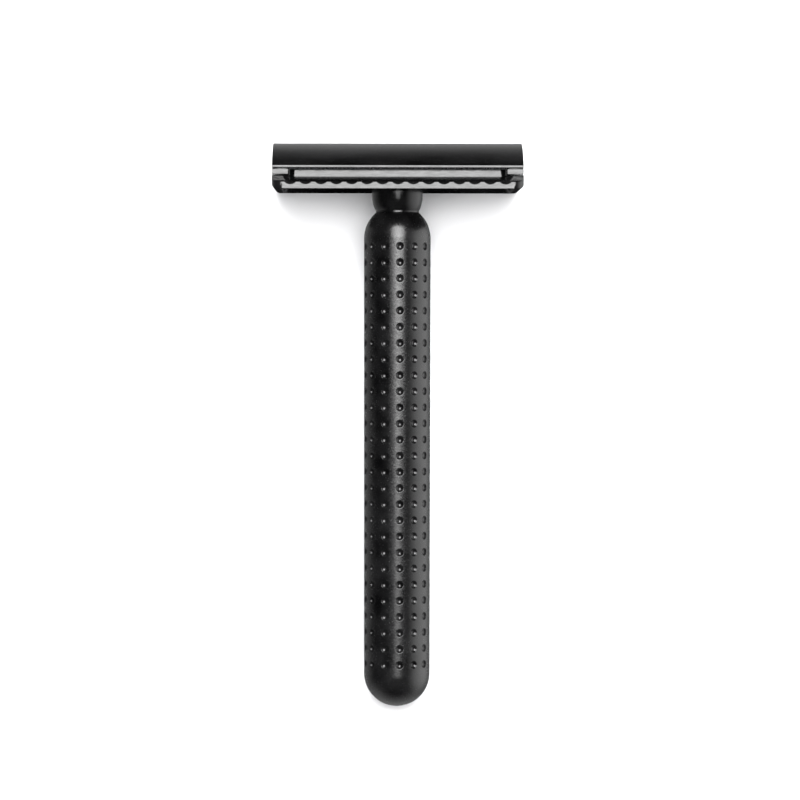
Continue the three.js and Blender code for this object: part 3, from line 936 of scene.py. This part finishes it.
def make_world():
    """Dim studio walls for the coating to mirror: brighter to the right, dark straight behind."""
    world = bpy.data.worlds.new("studio")
    bpy.context.scene.world = world
    world.use_nodes = True
    world.cycles.sampling_method = "NONE"
    nodes, links = world.node_tree.nodes, world.node_tree.links
    place = nodes.new("ShaderNodeTexCoord")
    parts = nodes.new("ShaderNodeSeparateXYZ")
    links.new(place.outputs["Generated"], parts.inputs["Vector"])

    def maths(operation, one, two):
        node = nodes.new("ShaderNodeMath")
        node.operation = operation
        for socket, value in zip(node.inputs, (one, two)):
            if isinstance(value, float):
                socket.default_value = value
            else:
                links.new(value, socket)
        return node.outputs["Value"]

    def ramp(value, start, end):
        node = nodes.new("ShaderNodeMapRange")
        node.interpolation_type = "SMOOTHSTEP"
        node.inputs["From Min"].default_value = start
        node.inputs["From Max"].default_value = end
        links.new(value, node.inputs["Value"])
        return node.outputs["Result"]

    x, y, z = (parts.outputs[axis] for axis in "XYZ")
    low = maths("MULTIPLY", maths("MULTIPLY", ramp(z, 0.1, -0.95), ramp(z, -0.998, -0.98)), 0.33)
    below = maths("MULTIPLY", maths("MULTIPLY", ramp(y, -0.3, -0.8), ramp(z, 0.3, -0.4)), 0.45)
    above = maths("MULTIPLY", maths("MULTIPLY", ramp(y, 0.1, 0.8), ramp(z, -0.15, -0.75)), 0.25)
    left = maths("MULTIPLY", maths("MULTIPLY", ramp(x, -0.3, -1.0), ramp(z, 0.25, -0.4)), 0.25)
    right = maths("MULTIPLY", maths("POWER", ramp(x, 0.5, 1.15), 1.3), 2.9)
    sides = maths("ADD", maths("ADD", low, left), maths("ADD", right, above))
    strength = maths("ADD", sides, below)
    links.new(strength, nodes["Background"].inputs["Strength"])
    nodes["Background"].inputs["Color"].default_value = (1, 1, 1, 1)


def make_stage():
    """A wide pale table, and a pale backdrop behind it for low views."""
    material, shader = new_material("pale_table")
    shader.inputs["Base Color"].default_value = (0.66, 0.66, 0.67, 1)
    shader.inputs["Roughness"].default_value = 0.9
    bpy.ops.mesh.primitive_plane_add(size=6, location=(0, 0, -0.00002))
    table = bpy.context.object
    table.name = "table"
    table.data.materials.append(material)
    backdrop_material = bpy.data.materials.new("pale_backdrop")
    backdrop_material.use_nodes = True
    shader = backdrop_material.node_tree.nodes["Principled BSDF"]
    shader.inputs["Base Color"].default_value = (0, 0, 0, 1)
    shader.inputs["Specular IOR Level"].default_value = 0
    shader.inputs["Emission Color"].default_value = (0.9, 0.9, 0.92, 1)
    shader.inputs["Emission Strength"].default_value = 1
    bpy.ops.mesh.primitive_cylinder_add(vertices=96, radius=2.9, depth=8, location=(0, 0, 3.9))
    backdrop = bpy.context.object
    backdrop.name = "backdrop"
    backdrop.data.materials.append(backdrop_material)
    backdrop.visible_diffuse = False
    backdrop.visible_shadow = False
    for obj in (table, backdrop):
        obj.visible_glossy = False


# ------------------------------------------------------------------ put together


def fit(piece, material, body, slot, *nodes):
    """Bakes a piece into the row frame and ties it to its body and its CAD nodes. The slot is not
    used.
    """
    piece.data.transform(RAZOR)
    piece.matrix_world = Matrix.Identity(4)
    piece.data.materials.clear()
    piece.data.materials.append(material)
    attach(piece, body)
    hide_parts(*nodes)


head_coating = satin_coating("head_coating", (0.3, 1, 1), 0.15, 0.45, 0.3)
# The neck has the handle's coating. This copy reflects less (specular 0.32 against the handle's
# 0.5): painted shade, for the shade the neck lies in under the head.
shaded_neck_coating = satin_coating("shaded_neck_coating", (1, 1, 1), 0.15, 0.32, 0.3)
handle_coating = satin_coating("handle_coating", (1, 1, 1), 0.24, 0.5, 1.0)
bare_steel = turned_metal("bare_steel", (0.42, 0.42, 0.41), (0.55, 0.55, 0.54), 0.3)
brass = turned_metal("insert_brass", (0.62, 0.44, 0.19), (0.76, 0.57, 0.28), 0.32)
blade_steel = ground_steel("blade_steel")

make_camera()
make_lights()
make_world()
make_stage()

fit(make_cap(), head_coating, "cap", "head_coating", "cap")
fit(make_stud(), bare_steel, "cap", "bare_steel", "threaded_stud")
fit(make_post(-1), bare_steel, "cap", "bare_steel", "locating_post_left")
fit(make_post(1), bare_steel, "cap", "bare_steel", "locating_post_right")
fit(make_blade(), blade_steel, "blade", "blade_steel", "blade")
fit(make_base_plate(), head_coating, "base", "head_coating", "base_plate")
fit(make_neck(), shaded_neck_coating, "handle", "handle_coating", "neck_collar")
fit(make_insert(), brass, "handle", "insert_brass", "threaded_insert")
fit(make_handle(), handle_coating, "handle", "handle_coating", "handle_body")

bpy.context.scene.view_settings.view_transform = "Standard"
